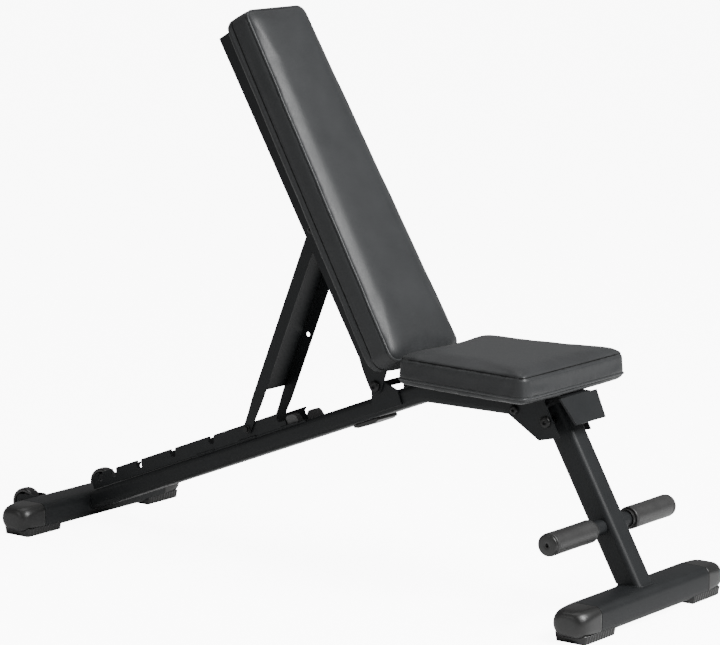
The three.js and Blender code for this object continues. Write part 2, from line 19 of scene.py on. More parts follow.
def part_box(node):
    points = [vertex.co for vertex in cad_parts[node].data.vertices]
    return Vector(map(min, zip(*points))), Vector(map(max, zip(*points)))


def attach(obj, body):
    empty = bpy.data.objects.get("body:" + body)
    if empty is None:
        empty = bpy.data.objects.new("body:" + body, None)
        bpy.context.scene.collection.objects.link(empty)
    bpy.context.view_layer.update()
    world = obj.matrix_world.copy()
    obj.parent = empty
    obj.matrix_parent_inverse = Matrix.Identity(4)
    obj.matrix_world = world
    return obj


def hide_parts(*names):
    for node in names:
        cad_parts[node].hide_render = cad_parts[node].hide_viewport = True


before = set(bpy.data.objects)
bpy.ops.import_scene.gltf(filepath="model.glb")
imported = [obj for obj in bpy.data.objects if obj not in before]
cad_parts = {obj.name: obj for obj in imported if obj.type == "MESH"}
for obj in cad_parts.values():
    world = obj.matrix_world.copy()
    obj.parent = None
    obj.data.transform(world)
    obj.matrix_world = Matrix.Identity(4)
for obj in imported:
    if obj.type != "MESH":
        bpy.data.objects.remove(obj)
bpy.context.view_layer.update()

LOG = logging.getLogger("bench")
METRE = 1000.0
TAU = 2 * math.pi

HINGE = (135.0, 353.0)
BACK_ANGLE = math.radians(60)
SPINE_SLOPE = math.radians(21.2)
LEG_PIVOT = (503.0, 332.0)
LEG_ANGLE = math.radians(60.7)
SIDES = {"near": -1, "far": 1}
SPINE = {"width": 92, "height": 36, "corner": 11}
LEG = {"width": 50, "height": 47, "corner": 11}
FOOT_TOP = 58.0
CAD_GAP = 0.3

WELD_DISTANCE = 2e-5
FLAT_ANGLE = math.radians(0.6)

Pair = tuple[float, float]
Station = tuple[Pair, Pair]


class Slot(Enum):
    """The record's material slots."""

    POWDER_COAT = "powder_coat"
    UPHOLSTERY = "upholstery"
    RUBBER = "rubber"
    GREY_RUBBER = "grey_rubber"
    FOAM = "foam"
    GLOSS_PLASTIC = "gloss_plastic"
    FASTENER = "fastener"


class Body(Enum):
    """The bodies of the CAD frame that pieces ride on."""

    FRAME = "frame"
    BACK = "back"
    STRUT = "strut"
    LEG = "front_leg"
    ROLLER_NEAR = "roller_near"
    ROLLER_FAR = "roller_far"
    WHEEL_NEAR = "wheel_near"
    WHEEL_FAR = "wheel_far"


class Grain(Enum):
    """Surface grain of a finish."""

    ORANGE_PEEL = "orange_peel"
    PEBBLE = "pebble"
    CELLS = "cells"
    SMOOTH = "smooth"


# ---- shader maths
Value = Union["Sock", float, Sequence[float]]


def operator(operation: str, reflected: bool = False) -> Callable[["Sock", Value], "Sock"]:
    """A method that puts the two sides of an operator through one Math node.

    Args:
        operation: what the node does.
        reflected: whether the socket stands on the operator's right.

    Returns:
        The method.
    """

    def apply(self: "Sock", other: Value) -> "Sock":
        sides = (other, self) if reflected else (self, other)
        return self.graph.node("ShaderNodeMath", {"operation": operation}, dict(enumerate(sides)))

    return apply


class Sock:
    """A shader value that can be added, scaled and mixed like a number."""

    __add__ = __radd__ = operator("ADD")
    __sub__, __rsub__ = operator("SUBTRACT"), operator("SUBTRACT", reflected=True)
    __mul__ = __rmul__ = operator("MULTIPLY")
    __truediv__, __rtruediv__ = operator("DIVIDE"), operator("DIVIDE", reflected=True)
    __pow__ = operator("POWER")

    def __init__(self, graph: "Graph", output: bpy.types.NodeSocket) -> None:
        self.graph = graph
        self.output = output

    def stretch(self, low: float, high: float, to_low: float, to_high: float) -> "Sock":
        """This value carried from one range to another and held at its ends.

        Args:
            low, high: the range it has.
            to_low, to_high: the range it gets.

        Returns:
            The new value.
        """
        inputs = {"Value": self, "From Min": low, "From Max": high, "To Min": to_low, "To Max": to_high}
        return self.graph.node("ShaderNodeMapRange", {"clamp": True}, inputs)

    def blend(self, first: Sequence[float], second: Sequence[float]) -> "Sock":
        """A colour between two, with this value as the share of the second."""
        inputs = {0: self, 6: (*first, 1.0), 7: (*second, 1.0)}
        return self.graph.node("ShaderNodeMix", {"data_type": "RGBA"}, inputs, out=2)


class Graph:
    """A material's node graph round one Principled shader."""

    def __init__(self, name: str) -> None:
        self.material = bpy.data.materials.new(name)
        self.material.use_nodes = True
        self.tree = self.material.node_tree
        self.shader = next(n for n in self.tree.nodes if n.type == "BSDF_PRINCIPLED")

    def node(self, kind: str, settings: dict, inputs: dict, out: Union[int, str] = 0) -> Sock:
        """Makes a node.

        Args:
            kind: its Blender type.
            settings: properties set before the sockets.
            inputs: socket name or index to a value or another socket.
            out: name or index of the output to return.

        Returns:
            The chosen output.
        """
        made = self.tree.nodes.new(kind)
        for key, value in settings.items():
            setattr(made, key, value)
        for key, value in inputs.items():
            self.feed(made.inputs[key], value)
        return Sock(self, made.outputs[out])

    def feed(self, socket: bpy.types.NodeSocket, value: Value) -> None:
        """Links a socket, or sets its value."""
        if isinstance(value, Sock):
            self.tree.links.new(value.output, socket)
        else:
            socket.default_value = value

    def set(self, **inputs: Value) -> None:
        """Feeds the Principled shader; underscores stand for spaces in socket names."""
        for key, value in inputs.items():
            self.feed(self.shader.inputs[key.replace("_", " ")], value)

    def place(self) -> Sock:
        """Object coordinates, in metres."""
        return self.node("ShaderNodeTexCoord", {}, {}, out="Object")

    def noise(self, scale: float, detail: float = 2.0, roughness: float = 0.5) -> Sock:
        """Noise of about one feature per 1/scale metres."""
        inputs = {"Vector": self.place(), "Scale": scale, "Detail": detail, "Roughness": roughness}
        return self.node("ShaderNodeTexNoise", {}, inputs, out=0)

    def cells(self, scale: float, feature: str = "SMOOTH_F1") -> Sock:
        """Distance to the nearest of scattered points."""
        inputs = {"Vector": self.place(), "Scale": scale}
        return self.node("ShaderNodeTexVoronoi", {"feature": feature}, inputs, out="Distance")


# ---- finishes
@dataclass(frozen=True)
class Finish:
    """A procedural finish.

    Attributes:
        slot: the record's material slot it shows.
        dark, light: linear colours that the slow mottling runs between.
        gloss: lowest and highest roughness.
        grain: kind of fine relief.
        grain_size: distance between grains, in millimetres.
        relief: height of the grain, in millimetres.
        metallic: share of metal.
        coat: weight of the clear coat.
        sheen: weight of the fabric sheen.
        shine: strength of the mirror-like reflection, 0.5 being plain plastic.
        mottle: distance between patches, in millimetres.
        tone: ending of the material's name, where a slot has more than one finish.
    """

    slot: Slot
    dark: tuple[float, float, float]
    light: tuple[float, float, float]
    gloss: tuple[float, float]
    grain: Grain
    grain_size: float
    relief: float
    metallic: float = 0.0
    coat: float = 0.0
    sheen: float = 0.0
    shine: float = 0.3
    mottle: float = 60.0
    tone: str = ""

    NOISE_RANGE = (0.3, 0.7)

    def height(self, graph: Graph) -> Sock:
        """The fine relief as a value of about 0 to 1."""
        scale = METRE / self.grain_size
        if self.grain is Grain.PEBBLE:
            pebbles = graph.cells(scale).stretch(0.0, 0.7, 1.0, 0.0)
            return pebbles * 0.7 + graph.noise(scale * 3, 3.0) * 0.3
        if self.grain is Grain.CELLS:
            pores = graph.cells(scale, "F1").stretch(0.1, 0.6, 0.0, 1.0)
            return pores * 0.6 + graph.noise(scale * 0.3, 4.0) * 0.4
        if self.grain is Grain.ORANGE_PEEL:
            return graph.noise(scale, 1.0, 0.3) * 0.7 + graph.noise(scale * 4, 2.0) * 0.3
        return graph.noise(scale, 3.0)

    def material(self) -> bpy.types.Material:
        """The finish as a material, made once."""
        name = f"{self.slot.value}{self.tone}_finish"
        if name in bpy.data.materials:
            return bpy.data.materials[name]
        graph = Graph(name)
        patches = graph.noise(METRE / self.mottle, 5.0, 0.6)
        height = self.height(graph)
        share = (patches * 0.75 + height * 0.25).stretch(*self.NOISE_RANGE, 0.0, 1.0)
        rough = (patches * 0.5 + height * 0.5).stretch(*self.NOISE_RANGE, *self.gloss)
        bump = {"Height": height, "Strength": 1.0, "Distance": self.relief / METRE}
        graph.set(
            Base_Color=share.blend(self.dark, self.light),
            Roughness=rough,
            Metallic=self.metallic,
            Coat_Weight=self.coat,
            Coat_Roughness=0.3,
            Sheen_Weight=self.sheen,
            Sheen_Roughness=0.5,
            Specular_IOR_Level=self.shine,
            Normal=graph.node("ShaderNodeBump", {}, bump),
        )
        return graph.material


def grey(value: float, tint: float = 0.0) -> tuple[float, float, float]:
    """A near-neutral linear colour; tint leans it towards blue."""
    return (value * (1 - tint), value, value * (1 + tint))


POWDER_COAT = Finish(
    Slot.POWDER_COAT, grey(0.0082, 0.08), grey(0.0112, 0.08), (0.42, 0.54), Grain.ORANGE_PEEL, 1.1, 0.03,
    shine=0.17,
)
UPHOLSTERY = Finish(
    Slot.UPHOLSTERY, grey(0.0145, 0.06), grey(0.0185, 0.06), (0.42, 0.54), Grain.PEBBLE, 1.5, 0.1, sheen=0.02
)
# Seam thread: real stitching, toned near black and darker than the cover, so it also stands in as painted
# shade along the seam groove.
THREAD = replace(UPHOLSTERY, dark=grey(0.002), light=grey(0.003), sheen=0.0, shine=0.1, tone="_thread_painted_shade")
# Piping finish: painted highlight. Its colour is lighter than the cover's, so the piping line reads as a lit
# edge.
PIPING = replace(
    UPHOLSTERY, dark=grey(0.022, 0.05), light=grey(0.03, 0.05), gloss=(0.34, 0.46), tone="_piping_painted_highlight"
)
RUBBER = Finish(
    Slot.RUBBER, grey(0.0045), grey(0.008), (0.32, 0.44), Grain.ORANGE_PEEL, 0.7, 0.02, shine=0.42
)
GREY_RUBBER = Finish(Slot.GREY_RUBBER, grey(0.05), grey(0.07), (0.55, 0.7), Grain.ORANGE_PEEL, 0.8, 0.03)
FOAM = Finish(
    Slot.FOAM, grey(0.0085), grey(0.014), (0.36, 0.5), Grain.CELLS, 0.8, 0.05,
    sheen=0.02, shine=0.5, mottle=25.0,
)
GLOSS_PLASTIC = Finish(
    Slot.GLOSS_PLASTIC, grey(0.002), grey(0.004), (0.14, 0.24), Grain.SMOOTH, 4.0, 0.01, coat=0.2, shine=0.4
)
FASTENER = Finish(
    Slot.FASTENER, grey(0.012), grey(0.02), (0.26, 0.4), Grain.SMOOTH, 0.8, 0.01, metallic=0.6, mottle=8.0
)


# ---- surfaces
@dataclass
class Surface:
    """Points and faces of one closed form, in millimetres.

    Attributes:
        points: an array of shape (n, 3).
        faces: arrays of vertex numbers, of 3 or 4 columns.
    """

    points: np.ndarray
    faces: list[np.ndarray] = field(default_factory=list)

    def joined(self, *others: "Surface") -> "Surface":
        """This form and others as one."""
        points, faces = [self.points], list(self.faces)
        count = len(self.points)
        for other in others:
            points.append(other.points)
            faces += [f + count for f in other.faces]
            count += len(other.points)
        return Surface(np.concatenate(points), faces)

    def moved(self, matrix: np.ndarray) -> "Surface":
        """The form carried by a 4 x 4 matrix."""
        return Surface(self.points @ matrix[:3, :3].T + matrix[:3, 3], self.faces)

    def mesh(self, name: str) -> bpy.types.Mesh:
        """A smooth Blender mesh in metres with its faces turned outward."""
        return closed_mesh(name, self.points / METRE, [row for block in self.faces for row in block.tolist()])

    def add(self, name: str, body: Body, finish: Finish, *nodes: str) -> bpy.types.Object:
        """Adds the form to the scene as a piece, as install does."""
        return install(name, self.mesh(name), body, finish, *nodes)


def closed_mesh(name: str, points: np.ndarray, faces: list[list[int]], weld: bool = False) -> bpy.types.Mesh:
    """A smooth mesh with its faces turned outward.

    Args:
        name: its name.
        points: n x 3, in metres.
        faces: vertex numbers of each face.
        weld: whether doubled points become one and flat neighbours one face.

    Returns:
        The mesh.
    """
    mesh = bpy.data.meshes.new(name)
    mesh.from_pydata(points.tolist(), [], faces)
    work = bmesh.new()
    work.from_mesh(mesh)
    if weld:
        bmesh.ops.remove_doubles(work, verts=work.verts, dist=WELD_DISTANCE)
        bmesh.ops.dissolve_limit(work, angle_limit=FLAT_ANGLE, verts=work.verts, edges=work.edges)
    bmesh.ops.recalc_face_normals(work, faces=work.faces)
    work.to_mesh(mesh)
    work.free()
    shade_smooth(mesh)
    return mesh


def shade_smooth(mesh: bpy.types.Mesh) -> None:
    """Shades every face smooth."""
    mesh.polygons.foreach_set("use_smooth", np.ones(len(mesh.polygons), bool))


def rows(items: bpy.types.bpy_prop_collection, attribute: str = "co") -> np.ndarray:
    """A vector attribute of every vertex, one row for each."""
    values = np.zeros(len(items) * 3)
    items.foreach_get(attribute, values)
    return values.reshape(-1, 3)


def ring(*axes: Union[float, np.ndarray]) -> np.ndarray:
    """Points from their coordinates along each axis, where a single number holds for every point."""
    return np.stack(np.broadcast_arrays(*axes), axis=-1)


def grid(points: np.ndarray, loop: bool = False) -> Surface:
    """Closes a table of rings into a form.

    Each ring is joined to the next. A loop joins the last ring to the first; otherwise a fan from the mean of
    each end ring closes that end.

    Args:
        points: rings x points in a ring x 3.
        loop: whether the rings go round.

    Returns:
        The closed form.
    """
    rings, count, _ = points.shape
    i = np.arange(rings if loop else rings - 1)[:, None]
    j = np.arange(count)[None, :]
    a, b = i * count + j, i * count + (j + 1) % count
    c, d = ((i + 1) % rings) * count + (j + 1) % count, ((i + 1) % rings) * count + j
    quads = np.stack([a, b, c, d], axis=-1).reshape(-1, 4)
    flat = points.reshape(-1, 3)
    if loop:
        return Surface(flat, [quads])
    ends = np.stack([points[0].mean(0), points[-1].mean(0)])
    k = np.arange(count)
    first = np.stack([np.full(count, len(flat)), (k + 1) % count, k], axis=-1)
    base = (rings - 1) * count
    last = np.stack([np.full(count, len(flat) + 1), base + k, base + (k + 1) % count], axis=-1)
    return Surface(np.concatenate([flat, ends]), [quads, np.concatenate([first, last])])


def rounded_rectangle(width: float, height: float, radius: float, steps: int = 8) -> np.ndarray:
    """Points round a rectangle whose corners are arcs of the given radius, about its centre."""
    quarter, step = np.meshgrid(np.arange(4), np.linspace(0, 1, steps), indexing="ij")
    angle = ((quarter + step) * TAU / 4).ravel()
    sign_a = np.repeat([1, -1, -1, 1], steps)
    sign_b = np.repeat([1, 1, -1, -1], steps)
    a = sign_a * (width / 2 - radius) + radius * np.cos(angle)
    b = sign_b * (height / 2 - radius) + radius * np.sin(angle)
    return np.stack([a, b], axis=-1)


def lathe(
    profile: Sequence[Sequence[float]], centre: Sequence[float], loop: bool, count: int = 64
) -> Surface:
    """Turns a profile of (radius, y) about a line along Y: point = centre + (r cos t, y, r sin t).

    Args:
        profile: radius and y of each ring.
        centre: where the line and y = 0 lie.
        loop: whether the profile is a closed ring round the line.
        count: points round the line.

    Returns:
        The turned form.
    """
    profile = np.asarray(profile, float)
    t = np.linspace(0, TAU, count, endpoint=False)
    r, y = profile[:, :1], profile[:, 1:]
    rings = ring(r * np.cos(t), y, r * np.sin(t))
    return grid(rings + np.asarray(centre, float), loop)


def tube(path: np.ndarray, radius: Union[float, np.ndarray], sides: int = 10, loop: bool = True) -> Surface:
    """A round tube along a path: each ring lies across the path's direction, of that point's radius.

    Args:
        path: n x 3 points.
        radius: one radius, or one for each point.
        sides: points in a ring.
        loop: whether the path is closed.

    Returns:
        The tube.
    """
    if loop:
        ahead = np.roll(path, -1, 0) - np.roll(path, 1, 0)
    else:
        ahead = np.gradient(path, axis=0)
    ahead /= np.linalg.norm(ahead, axis=1, keepdims=True)
    spread = path.max(0) - path.min(0)
    flat = np.eye(3)[int(np.argmin(spread))]
    across = np.cross(ahead, flat)
    across /= np.maximum(np.linalg.norm(across, axis=1, keepdims=True), 1e-9)
    up = np.cross(across, ahead)
    t = np.linspace(0, TAU, sides, endpoint=False)[None, :, None]
    r = np.broadcast_to(np.asarray(radius, float), (len(path),))[:, None, None]
    return grid(path[:, None] + r * (np.cos(t) * across[:, None] + np.sin(t) * up[:, None]), loop)


def even(path: np.ndarray, count: int, loop: bool = True) -> np.ndarray:
    """A path sampled again at equal steps of its length."""
    closed = np.concatenate([path, path[:1]]) if loop else path
    steps = np.linalg.norm(np.diff(closed, axis=0), axis=1)
    length = np.concatenate([[0], np.cumsum(steps)])
    at = np.linspace(0, length[-1], count, endpoint=not loop)
    return np.stack([np.interp(at, length, closed[:, k]) for k in range(path.shape[1])], axis=-1)


def weld_bead(path: np.ndarray, radius: float, loop: bool = True) -> Surface:
    """A weld bead: a tube whose radius swells by a tenth at each pass of the torch, every 3 mm of its run."""
    step, ripple = 0.75, 3
    closed = np.concatenate([path, path[:1]]) if loop else path
    length = np.linalg.norm(np.diff(closed, axis=0), axis=1).sum()
    samples = even(path, int(length / step), loop)
    phase = np.arange(len(samples)) * step / ripple * TAU
    return tube(samples, radius * (1 + 0.1 * np.sin(phase)), loop=loop)


def local_frame(origin: Pair, dx: float, dz: float) -> np.ndarray:
    """The matrix of a frame at (x, z) whose X runs along (dx, dz) and whose Y is the row's."""
    matrix = np.eye(4)
    matrix[:3, 0] = (dx, 0, dz)
    matrix[:3, 2] = (-dz, 0, dx)
    matrix[:3, 3] = (origin[0], 0, origin[1])
    return matrix


BACK_FRAME = local_frame(HINGE, -math.cos(BACK_ANGLE), math.sin(BACK_ANGLE))
LADDER_FRAME = local_frame(HINGE, math.cos(SPINE_SLOPE), math.sin(SPINE_SLOPE))
LEG_FRAME = local_frame(LEG_PIVOT, math.cos(LEG_ANGLE), -math.sin(LEG_ANGLE))


# ---- pieces
def linked(name: str, data: bpy.types.ID) -> bpy.types.Object:
    """A new object in the scene."""
    made = bpy.data.objects.new(name, data)
    bpy.context.scene.collection.objects.link(made)
    return made


def break_edges(piece: bpy.types.Object, width: float, sharpest: float) -> None:
    """Bevels the edges of a piece that turn by more than `sharpest` degrees, `width` millimetres wide."""
    bevel = piece.modifiers.new("broken edge", "BEVEL")
    bevel.width, bevel.segments = width / METRE, 2
    bevel.limit_method, bevel.angle_limit = "ANGLE", math.radians(sharpest)
    bevel.harden_normals = True


def install(name: str, mesh: bpy.types.Mesh, body: Body, finish: Finish, *nodes: str) -> bpy.types.Object:
    """Adds a piece to the scene.

    Args:
        name: its name.
        mesh: its mesh, in metres in the row frame.
        body: the CAD body it rides on.
        finish: its finish.
        nodes: CAD nodes it stands for.

    Returns:
        The new object.
    """
    piece = linked(name, mesh)
    mesh.materials.clear()
    mesh.materials.append(finish.material())
    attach(piece, body.value)
    if nodes:
        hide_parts(*nodes)
    LOG.info("%s: %d faces on %s", name, len(mesh.polygons), body.value)
    return piece


def box_of(node: str) -> tuple[np.ndarray, np.ndarray]:
    """Lowest and highest corner of a CAD node, in millimetres."""
    low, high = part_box(node)
    return np.array(low) * METRE, np.array(high) * METRE


@dataclass
class SoftenedSteel:
    """A CAD part carried over with its sharp edges broken by a small bevel.

    Attributes:
        node: the CAD node.
        body: the body it rides on.
        finish: its finish.
        bevel: width of the broken edge, in millimetres.
    """

    node: str
    body: Body
    finish: Finish
    bevel: float

    def build(self) -> bpy.types.Object:
        """Welds the CAD triangles into flat faces and adds the bevel."""
        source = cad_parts[self.node].data
        corners = np.zeros(len(source.loops), int)
        source.loops.foreach_get("vertex_index", corners)
        name = f"{self.node}_edged"
        mesh = closed_mesh(name, rows(source.vertices), corners.reshape(-1, 3).tolist(), weld=True)
        piece = install(name, mesh, self.body, self.finish, self.node)
        break_edges(piece, self.bevel, 38)
        return piece


def hexagon(count: int = 48) -> tuple[np.ndarray, np.ndarray]:
    """Angles t round a hexagon, and its radius there: cos 30 / cos((t mod 60 degrees) - 30 degrees)."""
    t = np.linspace(0, TAU, count, endpoint=False)
    return t, math.cos(TAU / 12) / np.cos(np.mod(t, TAU / 6) - TAU / 12)


@dataclass
class Bolt:
    """A button-head bolt along Y with a hexagon socket.

    Attributes:
        node: the CAD node it replaces, whose box says where it lies.
        body: the body it rides on.
        shank: shank radius.
        head: head radius.
        rise: head height.
        side: -1 if the head is on the near side, 1 on the far side.
    """

    node: str
    body: Body
    shank: float
    head: float
    rise: float
    side: int = -1

    SOCKET = 0.36
    SOCKET_RIM = 1.35
    FLAT_EDGE = 0.25

    def surface(self) -> Surface:
        """Rings from the hexagon socket's floor over the dome's arc, under the head and down the shank."""
        low, high = box_of(self.node)
        length = high[1] - low[1]
        socket = self.head * self.SOCKET
        turn = np.linspace(0, 1, 8) * TAU / 4
        reach = socket * self.SOCKET_RIM
        dome_r = reach + (self.head - reach) * np.sin(turn)
        dome_y = self.rise * (self.FLAT_EDGE + (1 - self.FLAT_EDGE) * np.cos(turn))
        start = np.array([[0.02, 0.45], [socket, 0.45], [socket, 1.0]])
        radius = np.concatenate([start[:, 0], dome_r, [self.head, self.shank, self.shank, self.shank - 0.6]])
        height = np.concatenate(
            [start[:, 1] * self.rise, dome_y, [0, 0, self.rise + 0.6 - length, self.rise - length]]
        )
        t, flats = hexagon()
        radii = radius[:, None] + 0 * t
        radii[:3] *= flats
        rings = ring(radii * np.cos(t), height[:, None], radii * np.sin(t))
        rings[..., 1] *= self.side
        base = high[1] - self.rise if self.side > 0 else low[1] + self.rise
        centre = (low + high) / 2
        return grid(rings + np.array([centre[0], base, centre[2]]))

    def build(self) -> bpy.types.Object:
        """Adds the bolt."""
        return self.surface().add(f"{self.node}_socket", self.body, FASTENER, self.node)


@dataclass
class LockNut:
    """A hexagon nut with a round locking collar, along Y, on the far side of its part.

    Attributes:
        node: the CAD node it replaces, whose box says where it lies.
        body: the body it rides on.
        bore: bore radius.
    """

    node: str
    body: Body
    bore: float

    HEXAGON_SHARE = 0.7
    COLLAR_SHARE = 0.8

    def build(self) -> bpy.types.Object:
        """A closed profile whose outer rings are hexagons and whose collar is round."""
        low, high = box_of(self.node)
        centre = (low + high) / 2
        outer = (high[0] - low[0]) / 2
        y0, y1 = low[1], high[1]
        step = (y1 - y0) * self.HEXAGON_SHARE + y0
        collar = outer * self.COLLAR_SHARE
        profile = [
            (self.bore, y0), (outer * 0.94, y0), (outer, y0 + 0.6), (outer, step - 0.6),
            (collar, step), (collar, y1 - 0.8), (collar - 0.8, y1), (self.bore, y1),
        ]
        t, flats = hexagon()
        radius = np.array(profile)[:, :1] + 0 * t
        radius[1:4] *= flats
        rings = ring(centre[0] + radius * np.cos(t), np.array(profile)[:, 1:], centre[2] + radius * np.sin(t))
        return grid(rings, loop=True).add(f"{self.node}_hexagon", self.body, FASTENER, self.node)


# ---- cushions
class SeamKind(Enum):
    """What runs along a seam."""

    PIPING = "piping"
    THREAD = "thread"


@dataclass
class SeamLine:
    """A seam round the side of a cushion.

    Attributes:
        height: its height in the cushion's own frame.
        groove: depth the cover is drawn in.
        cord: radius of what runs along it.
        kind: whether that is piping, which stands out, or thread, which lies in the groove.
    """

    height: float
    groove: float
    cord: float
    kind: SeamKind


@dataclass
class Cushion:
    """An upholstered pad: a foam slab under a tight cover, blown up by a cloth simulation.

    Its own frame has X along the pad, Y across and Z out from the board.

    Attributes:
        name: name of the piece, and start of the names of its piping.
        nodes: the CAD nodes it replaces, the board under the cover among them.
        body: the body it rides on.
        matrix: its own frame in the row frame.
        low, high: ends along X.
        low_half, high_half: half widths at those ends.
        corner: radius of the plan's corners.
        base, shoulder, crown: heights of the underside, the edge of the face and the middle of the face.
        seams: its seam lines.
        voxel: size of the mesh's faces in the simulation.
    """

    name: str
    nodes: tuple[str, ...]
    body: Body
    matrix: np.ndarray
    low: float
    high: float
    low_half: float
    high_half: float
    corner: float
    base: float
    shoulder: float
    crown: float
    seams: list[SeamLine]
    voxel: float = 5.5

    OUTLINE_POINTS = 360
    SHRINK = 2.5
    MOST = 2.5
    FOOT_ROUND = 6
    CROWN_REACH = 14
    HELD_HEIGHT = 1.2
    SEAM_SPREAD = 2.4
    PUCKER = 0.32
    PUCKER_SPREAD = 9
    PUCKER_WAVES = ((27, 1, 0.6), (11, 2, 0.4))
    SEAM_BAND = 3.5
    FRAMES = 20
    CLOTH = {
        "quality": 6,
        "mass": 0.25,
        "tension_stiffness": 25,
        "compression_stiffness": 25,
        "shear_stiffness": 10,
        "bending_stiffness": 2,
        "use_pressure": True,
        "uniform_pressure_force": 4,
        "vertex_group_mass": "held",
    }

    def outline(self, inset: float = 0.0) -> np.ndarray:
        """Even points round the tapered plan: straight sides between quarter arcs."""
        x0, x1 = self.low + inset, self.high - inset
        h0, h1 = self.low_half - inset, self.high_half - inset
        quarter = np.linspace(0, TAU / 4, 10)
        sine, cosine = self.corner * (1 - np.sin(quarter)), self.corner * (1 - np.cos(quarter))
        parts = [
            (x1 - sine, -h1 + cosine),
            (x1 - cosine, h1 - sine),
            (x0 + sine, h0 - cosine),
            (x0 + cosine, -h0 + sine),
        ]
        path = np.concatenate([np.stack(part, axis=-1) for part in parts])
        return even(path, self.OUTLINE_POINTS)

    def normals(self, outline: np.ndarray) -> np.ndarray:
        """Outward directions in the plan: the tangent turned by a right angle."""
        along = np.roll(outline, -1, 0) - np.roll(outline, 1, 0)
        along /= np.linalg.norm(along, axis=1, keepdims=True)
        return np.stack([along[:, 1], -along[:, 0]], axis=-1)

    def shell(self) -> Surface:
        """The slab before it is blown up.

        Side rings follow the plan, rounded in at the foot. Rings of the face are the plan scaled towards its
        middle, and rise from the shoulder to the crown as 1 - exp(-distance from the edge / CROWN_REACH).
        """
        edge = self.outline(self.SHRINK)
        out = self.normals(edge)
        middle = np.array([(self.low + self.high) / 2, 0.0])
        top = self.shoulder - self.SHRINK
        level = lambda plan, height: ring(*plan.T, height)
        rings = [level(middle + (edge - middle) * share, self.base) for share in (0.02, 0.3, 0.6, 0.9)]
        for turn in np.linspace(0, 1, 5) * TAU / 4:
            inset, rise = self.FOOT_ROUND * (1 - np.sin(turn)), self.FOOT_ROUND * (1 - np.cos(turn))
            rings.append(level(edge - out * inset, self.base + rise))
        rings += [level(edge, height) for height in np.linspace(self.base + 10, top, 6)]
        for share in 1 - np.linspace(0.02, 1, 26) ** 1.5:
            plan = middle + (edge - middle) * max(share, 0.01)
            gap = np.linalg.norm(plan[:, None] - edge[None, ::3], axis=2).min(1)
            lift = (self.crown - self.SHRINK - top) * (1 - np.exp(-gap / self.CROWN_REACH))
            rings.append(level(plan, top + lift))
        return grid(np.stack(rings))

    def blown(self, mesh: bpy.types.Mesh) -> np.ndarray:
        """Runs the cloth simulation on a copy and returns its points, each moved MOST millimetres at most."""
        work = linked(f"{self.name}_cloth", mesh.copy())
        rest = rows(mesh.vertices) * METRE
        held = work.vertex_groups.new(name="held")
        held.add(np.flatnonzero(rest[:, 2] < self.base + self.HELD_HEIGHT).tolist(), 1.0, "REPLACE")
        cloth = work.modifiers.new("cover", "CLOTH")
        for key, value in self.CLOTH.items():
            setattr(cloth.settings, key, value)
        cloth.settings.effector_weights.gravity = 0
        cloth.collision_settings.use_collision = False
        cloth.collision_settings.use_self_collision = False
        cloth.point_cache.frame_start, cloth.point_cache.frame_end = 1, self.FRAMES
        for number in range(1, self.FRAMES + 1):
            bpy.context.scene.frame_set(number)
        depsgraph = bpy.context.evaluated_depsgraph_get()
        result = rows(work.evaluated_get(depsgraph).data.vertices)
        bpy.data.objects.remove(work)
        bpy.context.scene.frame_set(1)
        move = result * METRE - rest
        far = np.linalg.norm(move, axis=1, keepdims=True)
        LOG.info("%s: cover moved %.1f mm at most", self.name, far.max())
        return rest + move * np.minimum(1, self.MOST / np.maximum(far, 1e-6))

    def remeshed(self) -> bpy.types.Object:
        """The slab as even faces of the voxel's size."""
        work = linked(self.name, self.shell().mesh(self.name))
        remesh = work.modifiers.new("even", "REMESH")
        remesh.mode = "VOXEL"
        remesh.voxel_size = self.voxel / METRE
        smooth = work.modifiers.new("smooth", "SMOOTH")
        smooth.factor, smooth.iterations = 0.5, 4
        self.apply(work)
        return work

    @staticmethod
    def apply(work: bpy.types.Object) -> None:
        """Puts what the modifiers make into the object's own mesh."""
        depsgraph = bpy.context.evaluated_depsgraph_get()
        made = bpy.data.meshes.new_from_object(work.evaluated_get(depsgraph))
        work.modifiers.clear()
        work.data = made

    def stitched(self, points: np.ndarray, turned: np.ndarray) -> tuple[np.ndarray, list[np.ndarray]]:
        """Draws the cover in along the seams and finds the seams' paths.

        A point at height h near seam s moves in by groove x exp(-((h - s) / SEAM_SPREAD)^2). The cover is
        also puckered by waves along the outline that fade away from the seam.

        Args:
            points: the cover's points.
            turned: its outward normals.

        Returns:
            The moved points, and one path for each seam.
        """
        edge = self.outline()
        out = self.normals(edge)
        apart = points[:, None, :2].astype(np.float32) - edge[None].astype(np.float32)
        near = np.argmin(apart[..., 0] ** 2 + apart[..., 1] ** 2, axis=1)
        beyond = ((points[:, :2] - edge[near]) * out[near]).sum(1)
        side = np.clip((beyond + 14) / 8, 0, 1)
        girth = np.linalg.norm(np.roll(edge, -1, 0) - edge, axis=1).sum()
        run = near / len(edge) * girth
        draw = np.zeros(len(points))
        paths = []
        for seam in self.seams:
            gap = np.abs(points[:, 2] - seam.height)
            draw += seam.groove * np.exp(-((gap / self.SEAM_SPREAD) ** 2)) * side
            waves = [
                part * np.sin(run / size * TAU + turn * seam.height)
                for size, turn, part in self.PUCKER_WAVES
            ]
            draw += self.PUCKER * sum(waves) * np.exp(-((gap / self.PUCKER_SPREAD) ** 2)) * side
            on = (gap < self.SEAM_BAND) & (side > 0.4)
            weight = np.bincount(near[on], minlength=len(edge)).astype(float)
            total = np.bincount(near[on], weights=beyond[on], minlength=len(edge))
            window = np.hanning(17)
            wrap = lambda row: np.convolve(np.concatenate([row[-8:], row, row[:8]]), window, "valid")
            offset = wrap(total) / np.maximum(wrap(weight), 1e-6)
            sunk = 0.2 if seam.kind is SeamKind.PIPING else seam.groove * 0.8
            plan = edge + out * (offset - sunk)[:, None]
            paths.append(ring(*plan.T, seam.height))
        return points - turned * draw[:, None], paths

